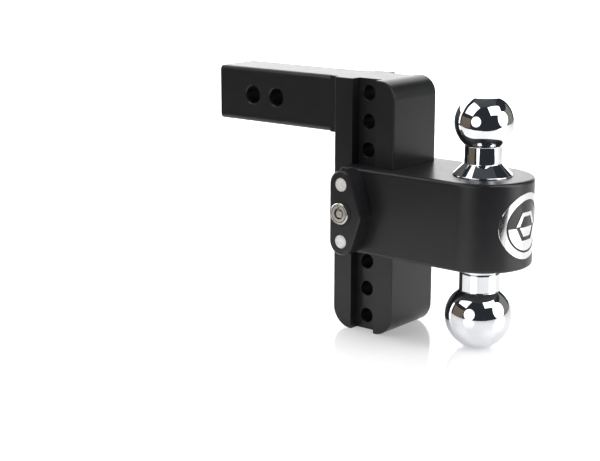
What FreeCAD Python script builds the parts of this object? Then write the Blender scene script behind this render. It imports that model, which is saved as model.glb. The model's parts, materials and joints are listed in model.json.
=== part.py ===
import FreeCAD, Part
import math
import os
from FreeCAD import Vector

# A height-adjustable trailer hitch.  A one-piece drawbar goes into a tow vehicle's receiver.
# A U-shaped ball mount grips the drawbar's grooved upright, and two pins on one plate hold it
# at one of the rows of holes.  The mount turns over to bring a second ball size to the top.
# Millimetres.  X runs from the vehicle to the ball, Z is up, and the origin is the middle of
# the receiver pin bore nearest the vehicle, which runs along Y.  The key side is -Y.

# ---- driving dimensions: drawbar -------------------------------------------------------
shank_size = 50.8            # square section that enters the receiver
shank_behind_bore = 41.3     # from the first receiver pin bore to the shank's end
shank_edge_round = 4.2
shank_round_stop = 9.8       # where the edge rounding stops short of the upright
shank_end_round = 1.6
pin_bore_radius = 8.33       # receiver pin bores, for a 5/8 in pin
pin_bore_pitch = 28.6
bore_chamfer = 0.9
upright_width = 63.5         # across the flanges, along Y
upright_depth = 65.0         # along X
upright_height = 228.6
upright_corner_round = 15.9  # the top front corner
upright_foot_round = 19.05   # both bottom corners
upright_edge_round = 1.0
groove_width = 25.4
groove_depth = 9.525
web_root_round = 4.8         # where the shank's underside meets the upright
hole_row_x = 133.3           # from the first receiver pin bore to the row of holes
hole_row_offset = 1.8        # the row stands this far behind the middle of the upright
hole_pitch = 25.4
hole_count = 9
hole_clearance = 0.25        # the holding pins in the upright's holes
first_hole_drop = 12.7       # from the upright's top to its first hole

# ---- driving dimensions: ball mount ----------------------------------------------------
mount_hole = 5               # the hole that the mount's middle stands at, counted from the top
mount_height = 76.2
mount_half_width = 44.45
mount_edge_round = 3.0
arm_behind_pins = 14.5
ball_reach = 105.0           # from the row of holes to the balls' common axis
slide_gap = 0.25             # between the mount and the upright, on each face
pin_fit = 0.1                # the holding pins in the mount's bores
ball_shank_fit = 0.03
set_screw_radius = 5.0
set_screw_length = 20.0
badge_outer_radius = 28.4
badge_ring_width = 5.8
badge_moat = 1.6
badge_recess = 0.6
badge_proud = 0.35
badge_fit = 0.1
hexagon_flats = 24.0
hexagon_line = 3.4
halves_gap = 1.2             # between the raised patterns of the disc's two halves
badge_relief = 0.5           # height of the disc's raised pattern over its field

# ---- driving dimensions: balls ---------------------------------------------------------
upper_ball_radius = 25.4     # 2 in
upper_ball_rise = 45.5       # from the mount's top face to the ball's centre
upper_flat_height = 21.4     # from the ball's centre to its flat
upper_neck_radius = 16.1
upper_flare_radius = 25.6
upper_flare_height = 9.6
upper_flare_lip = 1.0
lower_ball_radius = 29.37    # 2-5/16 in
lower_ball_drop = 48.2       # from the mount's bottom face to the ball's centre
lower_flat_height = 28.0     # from the ball's centre down to its flat
lower_collar_radius = 17.8
collar_chamfer = 0.8
wrench_flats = 32.5          # the hexagon between the collar and the mount
wrench_height = 8.6
wrench_corner_radius = 17.4
wrench_turn = -15.0          # degrees from +X to a corner, as it stands when tight
ball_shank_radius = 14.3
stud_radius = 9.5
stud_length = 24.0
stud_end_room = 1.5
neck_blend = 1.6
flat_edge_chamfer = 0.6

# ---- driving dimensions: dual pin and lock ---------------------------------------------
pin_radius = 6.35
pin_beyond_arm = 5.5
pin_tip_chamfer = 1.5
plate_thickness = 17.6
plate_rim = 0.9              # plate metal outside the lock's seal
plate_apex_radius = 14.0
plate_apex_reach = 7.1       # from the pins' line to the apex's centre
plate_bevel = 1.3
barrel_radius = 9.525
barrel_proud = 2.6
barrel_shoulder = 1.025
barrel_ledge = 2.2           # plate metal between the wide part and the retaining ring
barrel_fit = 0.05
seal_wall = 1.975
seal_depth = 1.6
seal_proud = 0.9
ring_thickness = 1.0
ring_land = 0.22             # barrel metal behind the retaining ring
ring_bite = 0.8
ring_grip = 1.5
ring_gap = 6.0
ring_room = 0.4
key_hole_radius = 4.95
key_notch_width = 1.6
key_notch_depth = 1.3
key_depth = 6.2              # from the barrel's face to the turning flange
post_radius = 3.35
post_below_face = 0.8
post_notch = 1.1
flange_radius = 6.8
flange_length = 4.4
chamber_fit = 0.05
chamber_gap = 0.06
bushing_length = 5.4
tail_radius = 3.0
tail_fit = 0.05
lock_pin_count = 7
lock_pin_places = 8
lock_pin_radius = 0.8
lock_pin_circle = 4.3
lock_pin_fit = 0.04
driver_length = 1.8
spring_room = 2.6
spring_wire = 0.22
dog_length = 17.0
dog_width = 6.0
dog_thickness = 4.0
dog_square = 4.0
dog_play = 0.5
dog_room = 0.5
skin_thickness = 5.0         # arm metal that the dog turns behind
pocket_depth = 9.0
washer_overhang = 0.1        # beyond the dog's sides
washer_thickness = 0.6
screw_radius = 1.5
screw_length = 6.0
screw_head_inset = 0.4
screw_head_height = 1.9

# ---- places worked out from the dimensions ---------------------------------------------
X_AXIS = Vector(1, 0, 0)
Y_AXIS = Vector(0, 1, 0)
Z_AXIS = Vector(0, 0, 1)
upright_top = shank_size / 2
upright_bottom = upright_top - upright_height
upright_mid_x = hole_row_x + hole_row_offset
upright_back = upright_mid_x - upright_depth / 2
upright_front = upright_mid_x + upright_depth / 2
web_half = upright_width / 2 - groove_depth
first_hole_z = upright_top - first_hole_drop
mount_z = first_hole_z - (mount_hole - 1) * hole_pitch
mount_top = mount_z + mount_height / 2
mount_bottom = mount_z - mount_height / 2
ball_x = hole_row_x + ball_reach
arm_back = hole_row_x - arm_behind_pins
channel_half = upright_width / 2 + slide_gap
channel_front = upright_front + slide_gap
upper_ball_z = mount_top + upper_ball_rise
lower_ball_z = mount_bottom - lower_ball_drop
plate_back_y = -mount_half_width
plate_front_y = plate_back_y - plate_thickness
barrel_face_y = plate_front_y - barrel_proud
flange_front_y = barrel_face_y + key_depth
shear_y = flange_front_y + flange_length
bushing_front_y = shear_y + chamber_gap
bushing_back_y = bushing_front_y + bushing_length
barrel_back_y = bushing_back_y + chamber_gap
ring_y = barrel_back_y - ring_land - ring_thickness
step_y = ring_y - barrel_ledge    # where the barrel's wide part ends
dog_front_y = plate_back_y + skin_thickness + dog_play
dog_back_y = dog_front_y + dog_thickness
hole_radius = pin_radius + hole_clearance
mount_pin_bore_radius = pin_radius + pin_fit
ball_bore_radius = ball_shank_radius + ball_shank_fit
seal_radius = barrel_radius + seal_wall
plate_lobe_radius = seal_radius + plate_rim
barrel_neck_radius = barrel_radius - barrel_shoulder
ring_groove_radius = barrel_neck_radius - ring_bite
ring_radius = barrel_neck_radius + ring_grip
ring_pocket_radius = ring_radius + ring_room
washer_radius = dog_width / 2 + washer_overhang
screw_head_radius = washer_radius - screw_head_inset
pin_offsets = (hole_pitch, -hole_pitch)


def block(x0, x1, y0, y1, z0, z1):
    return Part.makeBox(x1 - x0, y1 - y0, z1 - z0, Vector(x0, y0, z0))


def rod(radius, start, axis, length):
    return Part.makeCylinder(radius, length, start, axis)


def rod_y(radius, x, z, y0, y1):
    return rod(radius, Vector(x, y0, z), Y_AXIS, y1 - y0)


def tube_y(outer, inner, x, z, y0, y1):
    return rod_y(outer, x, z, y0, y1).cut(rod_y(inner, x, z, y0, y1))


def cone_y(r0, r1, x, z, y0, y1):
    return Part.makeCone(r0, r1, y1 - y0, Vector(x, y0, z), Y_AXIS)


def extrude(edges, direction):
    return Part.Face(Part.Wire(edges)).extrude(direction)


def polygon(points):
    return Part.makePolygon(points + [points[0]]).Edges


def turned(points, x, z, arcs=None):
    """A solid turned about a vertical axis at x; points are (radius, height) from z."""
    arcs = arcs or {}
    placed = [Vector(x + r, 0, z + h) for r, h in points]
    edges = []
    for i, start in enumerate(placed):
        end = placed[(i + 1) % len(placed)]
        if i in arcs:
            r, h = arcs[i]
            edges.append(Part.Arc(start, Vector(x + r, 0, z + h), end).toShape())
        else:
            edges.append(Part.makeLine(start, end))
    return Part.Face(Part.Wire(edges)).revolve(Vector(x, 0, z), Z_AXIS, 360)


def rounded(shape, radius, chosen):
    """The shape with a radius on every edge that chosen picks by its middle point and length."""
    edges = [e for e in shape.Edges if chosen(e, e.valueAt((e.FirstParameter + e.LastParameter) / 2))]
    return shape.makeFillet(radius, edges)


def along(edge, axis):
    """True for a straight edge parallel to the axis."""
    if not isinstance(edge.Curve, (Part.Line, Part.LineSegment)):
        return False
    return abs(abs(edge.tangentAt(edge.FirstParameter).dot(axis)) - 1) < 1e-6


def close(a, b):
    return abs(a - b) < 1e-3


def bore_with_chamfers(radius, x, z, half_width, chamfer):
    """The space of a bore along Y through +-half_width, with both mouths eased."""
    space = rod_y(radius, x, z, -half_width - 1, half_width + 1)
    for side in (-1, 1):
        at = Vector(x, side * half_width, z)
        space = space.fuse(Part.makeCone(radius + chamfer, radius, chamfer, at, Y_AXIS * -side))
    return space


# ---- drawbar ---------------------------------------------------------------------------
def upright():
    """The grooved upright, an I section with its top-front and both bottom corners rounded."""
    r = upright_corner_round
    foot = upright_foot_round
    half = upright_width / 2
    k = r * (1 - math.sqrt(0.5))
    foot_k = foot * (1 - math.sqrt(0.5))
    corners = {
        "top_back": Vector(upright_back, -half, upright_top),
        "top_start": Vector(upright_front - r, -half, upright_top),
        "top_mid": Vector(upright_front - k, -half, upright_top - k),
        "top_end": Vector(upright_front, -half, upright_top - r),
        "low_start": Vector(upright_front, -half, upright_bottom + foot),
        "low_mid": Vector(upright_front - foot_k, -half, upright_bottom + foot_k),
        "low_end": Vector(upright_front - foot, -half, upright_bottom),
        "heel_start": Vector(upright_back + foot, -half, upright_bottom),
        "heel_mid": Vector(upright_back + foot_k, -half, upright_bottom + foot_k),
        "heel_end": Vector(upright_back, -half, upright_bottom + foot),
    }
    c = corners
    outline = [
        Part.makeLine(c["top_back"], c["top_start"]),
        Part.Arc(c["top_start"], c["top_mid"], c["top_end"]).toShape(),
        Part.makeLine(c["top_end"], c["low_start"]),
        Part.Arc(c["low_start"], c["low_mid"], c["low_end"]).toShape(),
        Part.makeLine(c["low_end"], c["heel_start"]),
        Part.Arc(c["heel_start"], c["heel_mid"], c["heel_end"]).toShape(),
        Part.makeLine(c["heel_end"], c["top_back"]),
    ]
    body = extrude(outline, Y_AXIS * upright_width)
    # the outline's edges on both sides are eased before the grooves are milled
    body = rounded(body, upright_edge_round, lambda e, m: close(abs(m.y), half))
    x0 = upright_mid_x - groove_width / 2
    x1 = upright_mid_x + groove_width / 2
    for side in (-1, 1):
        y0, y1 = sorted((side * web_half, side * (half + 1)))
        body = body.cut(block(x0, x1, y0, y1, upright_bottom - 1, upright_top + 1))
    return body


def shank():
    """The square shank: long edges rounded up to a stop, then square into the upright."""
    half = shank_size / 2
    stop = upright_back - shank_round_stop
    bar = block(-shank_behind_bore, stop, -half, half, -half, half)
    bar = rounded(bar, shank_edge_round, lambda e, m: along(e, X_AXIS))
    bar = rounded(bar, shank_end_round, lambda e, m: close(m.x, -shank_behind_bore))
    root = block(stop, upright_back + 1, -half, half, -half, half)
    return bar.fuse(root)


def root_fillet():
    """The concave blend under the shank where it meets the upright."""
    r = web_root_round
    half = shank_size / 2
    corner = Vector(upright_back, -half, -half)
    behind = corner + Vector(-r, 0, 0)
    below = corner + Vector(0, 0, -r)
    k = r * (1 - math.sqrt(0.5))
    edges = [
        Part.makeLine(corner, behind),
        Part.Arc(behind, corner + Vector(-k, 0, -k), below).toShape(),
        Part.makeLine(below, corner),
    ]
    return extrude(edges, Y_AXIS * shank_size)


def drawbar():
    body = upright().fuse([shank(), root_fillet()]).removeSplitter()
    for x in (0, pin_bore_pitch):
        body = body.cut(bore_with_chamfers(pin_bore_radius, x, 0, shank_size / 2, bore_chamfer))
    for i in range(hole_count):
        z = first_hole_z - i * hole_pitch
        body = body.cut(bore_with_chamfers(hole_radius, hole_row_x, z, web_half, bore_chamfer / 2))
    return body


# ---- ball mount ------------------------------------------------------------------------
def nose_outline(half_width, back):
    """A plan outline: straight sides from back to the ball axis, then a half round nose."""
    a = Vector(back, -half_width, mount_bottom)
    b = Vector(ball_x, -half_width, mount_bottom)
    tip = Vector(ball_x + half_width, 0, mount_bottom)
    c = Vector(ball_x, half_width, mount_bottom)
    d = Vector(back, half_width, mount_bottom)
    return [Part.makeLine(a, b), Part.Arc(b, tip, c).toShape(), Part.makeLine(c, d), Part.makeLine(d, a)]


def badge_prism(radius, inner=0.0):
    """A disc or ring that runs forward through the nose, centred on it."""
    start = Vector(ball_x, 0, mount_z)
    prism = rod(radius, start, X_AXIS, mount_half_width + 5)
    if inner:
        prism = prism.cut(rod(inner, start, X_AXIS, mount_half_width + 5))
    return prism


def nose_shell(inner, outer):
    start = Vector(ball_x, 0, mount_bottom)
    return rod(outer, start, Z_AXIS, mount_height).cut(rod(inner, start, Z_AXIS, mount_height))


def dog_space(side):
    """The slot that the lock's dog enters by, and the round pocket that it turns in."""
    reach = dog_length / 2 + dog_room
    half = dog_width / 2 + dog_room
    outer = side * mount_half_width
    skin = side * (mount_half_width - skin_thickness)
    deep = side * (mount_half_width - skin_thickness - pocket_depth)
    y0, y1 = sorted((outer + side, skin - side))
    slot = block(hole_row_x - half, hole_row_x + half, y0, y1, mount_z - reach, mount_z + reach)
    y0, y1 = sorted((skin, deep))
    return slot.fuse(rod_y(reach, hole_row_x, mount_z, y0, y1))


def ball_mount():
    body = extrude(nose_outline(mount_half_width, arm_back), Z_AXIS * mount_height)
    levels = (mount_top, mount_bottom)
    body = rounded(body, mount_edge_round, lambda e, m: any(close(m.z, level) for level in levels))
    body = rounded(body, mount_edge_round / 2, lambda e, m: along(e, Z_AXIS) and close(m.x, arm_back))
    y = channel_half
    body = body.cut(block(arm_back - 1, channel_front, -y, y, mount_bottom - 1, mount_top + 1))
    # a lip on each arm fills the upright's groove
    lip_x0 = upright_mid_x - groove_width / 2 + slide_gap
    lip_x1 = upright_mid_x + groove_width / 2 - slide_gap
    lip_in = web_half + slide_gap
    for side in (-1, 1):
        y0, y1 = sorted((side * lip_in, side * (channel_half + 1)))
        lip = block(lip_x0, lip_x1, y0, y1, mount_bottom, mount_top)
        body = body.fuse(lip)
    body = body.removeSplitter()
    ease = bore_chamfer / 2
    for z in (mount_z + offset for offset in pin_offsets):
        bore = bore_with_chamfers(mount_pin_bore_radius, hole_row_x, z, mount_half_width, ease)
        body = body.cut(bore)
    for side in (-1, 1):
        body = body.cut(dog_space(side))
    below = Vector(ball_x, 0, mount_bottom - 1)
    body = body.cut(rod(ball_bore_radius, below, Z_AXIS, mount_height + 2))
    screw_start = Vector(channel_front - 1, 0, mount_z)
    body = body.cut(rod(set_screw_radius, screw_start, X_AXIS, ball_x - channel_front))
    # shallow seats for the badge's ring and disc
    skin = nose_shell(mount_half_width - badge_recess, mount_half_width + 2)
    ring_inner = badge_outer_radius - badge_ring_width
    body = body.cut(badge_prism(badge_outer_radius, ring_inner).common(skin))
    body = body.cut(badge_prism(ring_inner - badge_moat).common(skin))
    return body


def badge_ring():
    skin = nose_shell(mount_half_width - badge_recess, mount_half_width + badge_proud)
    inner = badge_outer_radius - badge_ring_width + badge_fit
    return badge_prism(badge_outer_radius - badge_fit, inner).common(skin)


def hexagon(flats):
    """A hexagonal prism along X at the middle of the nose."""
    r = flats / math.sqrt(3)
    points = []
    for i in range(6):
        a = math.radians(60 * i)
        points.append(Vector(ball_x, r * math.cos(a), mount_z + r * math.sin(a)))
    return extrude(polygon(points), X_AXIS * (mount_half_width + 5))


def badge_disc():
    """A disc with a raised lower half; one hexagonal line is raised above it and sunk in it."""
    radius = badge_outer_radius - badge_ring_width - badge_moat - badge_fit
    face = mount_half_width + badge_proud
    field = badge_prism(radius).common(nose_shell(mount_half_width - badge_recess, face - badge_relief))
    relief = badge_prism(radius).common(nose_shell(face - badge_relief, face))
    line = hexagon(hexagon_flats).cut(hexagon(hexagon_flats - 2 * hexagon_line))
    far = face + 1
    upper = block(ball_x, ball_x + far, -far, far, mount_z + halves_gap / 2, mount_z + far)
    lower = block(ball_x, ball_x + far, -far, far, mount_z - far, mount_z - halves_gap / 2)
    raised = relief.common(line.common(upper)).fuse(relief.common(lower.cut(line)))
    return field.fuse(raised).removeSplitter()


def ball_set_screw():
    """A grub screw with a hexagon socket; its tip bears on the lower ball's shank."""
    tip = ball_x - ball_shank_radius
    back = tip - set_screw_length
    screw = rod(set_screw_radius, Vector(back, 0, mount_z), X_AXIS, set_screw_length)
    r = set_screw_radius / 2
    points = []
    for i in range(6):
        a = math.radians(60 * i)
        points.append(Vector(back, r * math.cos(a), mount_z + r * math.sin(a)))
    return screw.cut(extrude(polygon(points), X_AXIS * set_screw_radius))


# ---- balls -----------------------------------------------------------------------------
def sphere_radius_at(radius, height):
    return math.sqrt(radius ** 2 - height ** 2)


def upper_ball():
    """The smaller ball: flat top, straight neck and a flare that stands on the mount."""
    r = upper_ball_radius
    top = upper_flat_height
    flat = sphere_radius_at(r, top)
    base = -upper_ball_rise
    flare_top = base + upper_flare_lip + upper_flare_height
    neck = upper_neck_radius
    meet = -sphere_radius_at(r, neck)
    points = [
        (0, top), (flat, top), (neck, meet), (neck, flare_top),
        (upper_flare_radius, base + upper_flare_lip), (upper_flare_radius, base), (0, base),
    ]
    body = turned(points, ball_x, upper_ball_z, {1: (r, 0)})
    body = rounded(body, neck_blend, lambda e, m: close(m.z, upper_ball_z + meet))
    body = rounded(body, flat_edge_chamfer, lambda e, m: close(m.z, upper_ball_z + top) and e.Length > 1)
    socket = rod(stud_radius, Vector(ball_x, 0, mount_top), Z_AXIS, stud_length + stud_end_room)
    return body.cut(socket)


def wrench_hexagon():
    """The hexagon over the collar, with its corners turned down."""
    base = Vector(ball_x, 0, mount_bottom - wrench_height)
    r = wrench_flats / math.sqrt(3)
    points = []
    for i in range(6):
        a = math.radians(60 * i + wrench_turn)
        points.append(base + Vector(r * math.cos(a), r * math.sin(a), 0))
    prism = extrude(polygon(points), Z_AXIS * wrench_height)
    return prism.common(rod(wrench_corner_radius, base, Z_AXIS, wrench_height))


def lower_ball():
    """The larger ball, its collar, the shank through the mount and the stud into the upper ball."""
    r = lower_ball_radius
    low = -lower_flat_height
    flat = sphere_radius_at(r, low)
    collar = lower_collar_radius
    meet = sphere_radius_at(r, collar)
    ledge = lower_ball_drop - wrench_height
    shank_top = lower_ball_drop + mount_height
    stud_top = shank_top + stud_length
    points = [
        (0, low), (flat, low), (collar, meet), (collar, ledge - collar_chamfer),
        (collar - collar_chamfer, ledge), (ball_shank_radius, ledge),
        (ball_shank_radius, shank_top), (stud_radius, shank_top),
        (stud_radius, stud_top), (0, stud_top),
    ]
    body = turned(points, ball_x, lower_ball_z, {1: (r, 0)})
    body = rounded(body, neck_blend, lambda e, m: close(m.z, lower_ball_z + meet))
    return body.fuse(wrench_hexagon()).removeSplitter()


# ---- dual pin --------------------------------------------------------------------------
def lock_pins_at(make):
    """One solid at each of the lock's pin places; the eighth place is the key's notch."""
    solids = []
    for i in range(lock_pin_count):
        a = math.radians(90 + 360 * (i + 1) / lock_pin_places)
        x = hole_row_x + lock_pin_circle * math.cos(a)
        z = mount_z + lock_pin_circle * math.sin(a)
        solids.append(make(i, x, z))
    return solids


def plate_outline():
    """Round lobes at both pins, and an apex towards the ball, joined by tangent lines."""
    y = plate_front_y
    lobe = plate_lobe_radius
    apex = plate_apex_radius
    top = Vector(hole_row_x, y, mount_z + hole_pitch)
    low = Vector(hole_row_x, y, mount_z - hole_pitch)
    nose = Vector(hole_row_x + plate_apex_reach, y, mount_z)
    # the outward normal shared by the tangent line from the top lobe to the apex
    span = nose - top
    lean = math.atan2(span.z, span.x) + math.acos((lobe - apex) / span.Length)
    up = Vector(math.cos(lean), 0, math.sin(lean))
    down = Vector(up.x, 0, -up.z)
    back = Vector(-1, 0, 0)
    t0, t1 = top + back * lobe, top + up * lobe
    n0, n1 = nose + up * apex, nose + down * apex
    b0, b1 = low + down * lobe, low + back * lobe
    over = (back + up).normalize() * lobe
    under = (back + down).normalize() * lobe
    if over.z < 0:
        over = over * -1
        under = under * -1
    return [
        Part.Arc(t0, top + over, t1).toShape(), Part.makeLine(t1, n0),
        Part.Arc(n0, nose + Vector(apex, 0, 0), n1).toShape(), Part.makeLine(n1, b0),
        Part.Arc(b0, low + under, b1).toShape(), Part.makeLine(b1, t0),
    ]


def pin_plate():
    body = extrude(plate_outline(), Y_AXIS * plate_thickness)
    front = [e for e in body.Edges if close(e.CenterOfMass.y, plate_front_y)]
    body = body.makeChamfer(plate_bevel, front)
    for dz in pin_offsets:
        body = body.cut(rod_y(pin_radius, hole_row_x, mount_z + dz, plate_front_y - 1, plate_back_y + 1))
    at = (hole_row_x, mount_z)
    body = body.cut(rod_y(barrel_radius + barrel_fit, *at, plate_front_y - 1, step_y))
    body = body.cut(rod_y(barrel_neck_radius + barrel_fit, *at, step_y - 1, ring_y + 1))
    body = body.cut(rod_y(ring_pocket_radius, *at, ring_y, plate_back_y + 1))
    return body.cut(rod_y(seal_radius, *at, plate_front_y - 1, plate_front_y + seal_depth))


def lock_pin_rod(dz):
    """One holding pin, pressed in the plate and bevelled at its far tip."""
    y1 = mount_half_width + pin_beyond_arm
    y0 = plate_front_y + 0.3
    z = mount_z + dz
    shaft = rod_y(pin_radius, hole_row_x, z, y0, y1 - pin_tip_chamfer)
    tip = cone_y(pin_radius, pin_radius - pin_tip_chamfer, hole_row_x, z, y1 - pin_tip_chamfer, y1)
    return shaft.fuse(tip)


def lock_barrel():
    at = (hole_row_x, mount_z)
    step = step_y - barrel_fit
    body = rod_y(barrel_radius, *at, barrel_face_y, step)
    rim = [e for e in body.Edges if close(e.CenterOfMass.y, barrel_face_y)]
    body = body.makeChamfer(0.6, rim)
    body = body.fuse(rod_y(barrel_neck_radius, *at, step, barrel_back_y)).removeSplitter()
    body = body.cut(rod_y(key_hole_radius, *at, barrel_face_y - 1, flange_front_y))
    half = key_notch_width / 2
    z0 = mount_z + key_hole_radius - 0.5
    z1 = mount_z + key_hole_radius + key_notch_depth
    notch = block(hole_row_x - half, hole_row_x + half, barrel_face_y - 1, flange_front_y, z0, z1)
    body = body.cut(notch)
    chamber = flange_radius + chamber_fit
    body = body.cut(rod_y(chamber, *at, flange_front_y - chamber_gap, barrel_back_y + 1))
    groove = tube_y(barrel_neck_radius + 1, ring_groove_radius, *at, ring_y, ring_y + ring_thickness)
    return body.cut(groove)


def lock_seal():
    """A dark ring around the barrel that keeps dirt out of its seat."""
    at = (hole_row_x, mount_z)
    front = plate_front_y - seal_proud
    body = tube_y(seal_radius, barrel_radius, *at, front, plate_front_y + seal_depth)
    inner_length = 2 * math.pi * barrel_radius
    rim = [e for e in body.Edges if close(e.CenterOfMass.y, front) and e.Length > inner_length + 1]
    return body.makeChamfer(seal_proud / 2, rim)


def lock_retaining_ring():
    """An open spring ring in the barrel's groove, behind the plate's ledge."""
    at = (hole_row_x, mount_z)
    ring = tube_y(ring_radius, ring_groove_radius, *at, ring_y, ring_y + ring_thickness)
    x0, x1 = hole_row_x - ring_gap / 2, hole_row_x + ring_gap / 2
    return ring.cut(block(x0, x1, ring_y - 1, ring_y + 3, mount_z, mount_z + 2 * ring_radius))


def lock_bushing():
    """The fixed rear half of the lock, with a chamber for each driver pin and its spring."""
    at = (hole_row_x, mount_z)
    outer = flange_radius + chamber_fit
    body = tube_y(outer, tail_radius + tail_fit, *at, bushing_front_y, bushing_back_y)
    depth = driver_length + spring_room
    hole = lock_pin_radius + lock_pin_fit
    y0, y1 = bushing_front_y - 1, bushing_front_y + depth
    for space in lock_pins_at(lambda i, x, z: rod_y(hole, x, z, y0, y1)):
        body = body.cut(space)
    return body


def lock_driver_pins():
    y0 = bushing_front_y
    make = lambda i, x, z: rod_y(lock_pin_radius, x, z, y0, y0 + driver_length)
    return Part.makeCompound(lock_pins_at(make))


def lock_springs():
    y0 = bushing_front_y + driver_length
    inner = lock_pin_radius - spring_wire
    make = lambda i, x, z: tube_y(lock_pin_radius, inner, x, z, y0, y0 + spring_room)
    return Part.makeCompound(lock_pins_at(make))


# ---- lock core -------------------------------------------------------------------------
def square_y(side, y0, y1):
    """A square bar along the lock's axis."""
    half = side / 2
    x0, x1 = hole_row_x - half, hole_row_x + half
    return block(x0, x1, y0, y1, mount_z - half, mount_z + half)


def key_pin_length(i):
    """Key pins come in four lengths, each shorter than the flange."""
    return flange_length - 0.4 - 0.4 * ((3 * i) % 4)


def lock_core():
    """The turning part: key post, flange with the key pins' holes, and the tail."""
    at = (hole_row_x, mount_z)
    front = barrel_face_y + post_below_face
    body = rod_y(post_radius, *at, front, flange_front_y + 1)
    x0, x1 = hole_row_x - post_notch / 2, hole_row_x + post_notch / 2
    z0, z1 = mount_z + post_radius - post_notch, mount_z + post_radius + 1
    body = body.cut(block(x0, x1, front - 1, flange_front_y, z0, z1))
    body = body.fuse(rod_y(flange_radius, *at, flange_front_y, shear_y))
    body = body.fuse(rod_y(tail_radius, *at, shear_y, dog_front_y)).removeSplitter()
    body = body.fuse(square_y(dog_square, dog_front_y, dog_back_y))
    body = body.cut(rod_y(screw_radius, *at, dog_back_y - screw_length, dog_back_y + 1))
    hole = lock_pin_radius + lock_pin_fit
    for space in lock_pins_at(lambda i, x, z: rod_y(hole, x, z, flange_front_y - 1, shear_y + 0.02)):
        body = body.cut(space)
    return body


def lock_key_pins():
    return Part.makeCompound(
        lock_pins_at(lambda i, x, z: rod_y(lock_pin_radius, x, z, shear_y - key_pin_length(i), shear_y)))


def lock_dog():
    """A bar with round ends on the tail's square; it turns behind the arm's skin."""
    reach = dog_length / 2
    x0, x1 = hole_row_x - dog_width / 2, hole_row_x + dog_width / 2
    bar = block(x0, x1, dog_front_y, dog_back_y, mount_z - reach, mount_z + reach)
    bar = bar.common(rod_y(reach, hole_row_x, mount_z, dog_front_y, dog_back_y))
    return bar.cut(square_y(dog_square, dog_front_y - 1, dog_back_y + 1))


def dog_washer():
    back = dog_back_y + washer_thickness
    return tube_y(washer_radius, screw_radius, hole_row_x, mount_z, dog_back_y, back)


def dog_screw():
    at = (hole_row_x, mount_z)
    seat = dog_back_y + washer_thickness
    body = rod_y(screw_radius, *at, dog_back_y - screw_length + 0.5, seat)
    body = body.fuse(rod_y(screw_head_radius, *at, seat, seat + screw_head_height)).removeSplitter()
    half = screw_radius / 4
    x0, x1 = hole_row_x - screw_head_radius, hole_row_x + screw_head_radius
    y0, y1 = seat + screw_head_height / 2, seat + screw_head_height + 1
    return body.cut(block(x0, x1, y0, y1, mount_z - half, mount_z + half))


PARTS = {
    "drawbar": drawbar,
    "ball_mount": ball_mount,
    "upper_ball": upper_ball,
    "lower_ball": lower_ball,
    "ball_set_screw": ball_set_screw,
    "badge_ring": badge_ring,
    "badge_disc": badge_disc,
    "pin_plate": pin_plate,
    "upper_pin": lambda: lock_pin_rod(pin_offsets[0]),
    "lower_pin": lambda: lock_pin_rod(pin_offsets[1]),
    "lock_barrel": lock_barrel,
    "lock_seal": lock_seal,
    "lock_retaining_ring": lock_retaining_ring,
    "lock_bushing": lock_bushing,
    "lock_driver_pins": lock_driver_pins,
    "lock_springs": lock_springs,
    "lock_core": lock_core,
    "lock_key_pins": lock_key_pins,
    "lock_dog": lock_dog,
    "dog_washer": dog_washer,
    "dog_screw": dog_screw,
}

os.makedirs("parts", exist_ok=True)
for name, make in PARTS.items():
    shape = make()
    if not shape.isValid() or shape.Volume <= 0:
        raise RuntimeError(name + " is not a sound solid")
    shape.exportStep(os.path.join("parts", name + ".step"))
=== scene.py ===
import json
import math

import bmesh
import bpy
from bpy.props import (
    FloatProperty, FloatVectorProperty, IntProperty, PointerProperty, StringProperty)
from mathutils import Matrix, Vector


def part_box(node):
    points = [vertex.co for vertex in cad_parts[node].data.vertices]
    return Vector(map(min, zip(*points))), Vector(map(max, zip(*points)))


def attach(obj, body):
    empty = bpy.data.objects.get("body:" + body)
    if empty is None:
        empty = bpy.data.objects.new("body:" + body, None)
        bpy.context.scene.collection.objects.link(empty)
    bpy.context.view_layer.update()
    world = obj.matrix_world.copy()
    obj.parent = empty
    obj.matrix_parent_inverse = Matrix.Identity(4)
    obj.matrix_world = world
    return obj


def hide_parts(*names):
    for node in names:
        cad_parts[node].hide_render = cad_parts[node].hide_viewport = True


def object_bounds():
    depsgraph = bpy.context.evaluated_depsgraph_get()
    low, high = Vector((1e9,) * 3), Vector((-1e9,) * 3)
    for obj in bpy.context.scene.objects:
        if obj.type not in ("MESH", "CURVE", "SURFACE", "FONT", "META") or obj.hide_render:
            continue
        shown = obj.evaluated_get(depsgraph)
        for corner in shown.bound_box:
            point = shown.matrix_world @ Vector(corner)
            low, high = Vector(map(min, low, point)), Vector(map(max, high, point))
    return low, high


bl_info = {
    "name": "Trailer Hitch Builder",
    "version": (1, 0, 0),
    "blender": (4, 5, 0),
    "location": "3D View > Sidebar > Hitch",
    "description": "Finishes a height-adjustable trailer hitch and lights it on a white table",
    "category": "Object",
}

MM = 0.001
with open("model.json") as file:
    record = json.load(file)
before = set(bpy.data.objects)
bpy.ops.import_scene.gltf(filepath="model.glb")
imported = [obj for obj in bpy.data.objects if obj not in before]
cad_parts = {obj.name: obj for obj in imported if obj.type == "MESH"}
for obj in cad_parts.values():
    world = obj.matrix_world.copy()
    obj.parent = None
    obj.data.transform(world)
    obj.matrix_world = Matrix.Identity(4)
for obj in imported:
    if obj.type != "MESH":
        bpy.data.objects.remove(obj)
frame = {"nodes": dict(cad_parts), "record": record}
CAD_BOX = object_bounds()
MOUNTS = {m["name"]: m for m in frame["record"]["mounts"]}


def mount_place(name):
    """A named interface's place in the row frame."""
    return Vector(MOUNTS[name]["pos_m"])


def mount_radius(name):
    """A named interface's radius in metres."""
    return MOUNTS[name]["dims"]["r_mm"] * MM


def middle(node):
    """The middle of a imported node's box."""
    low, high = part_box(node)
    return (low + high) / 2


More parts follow.
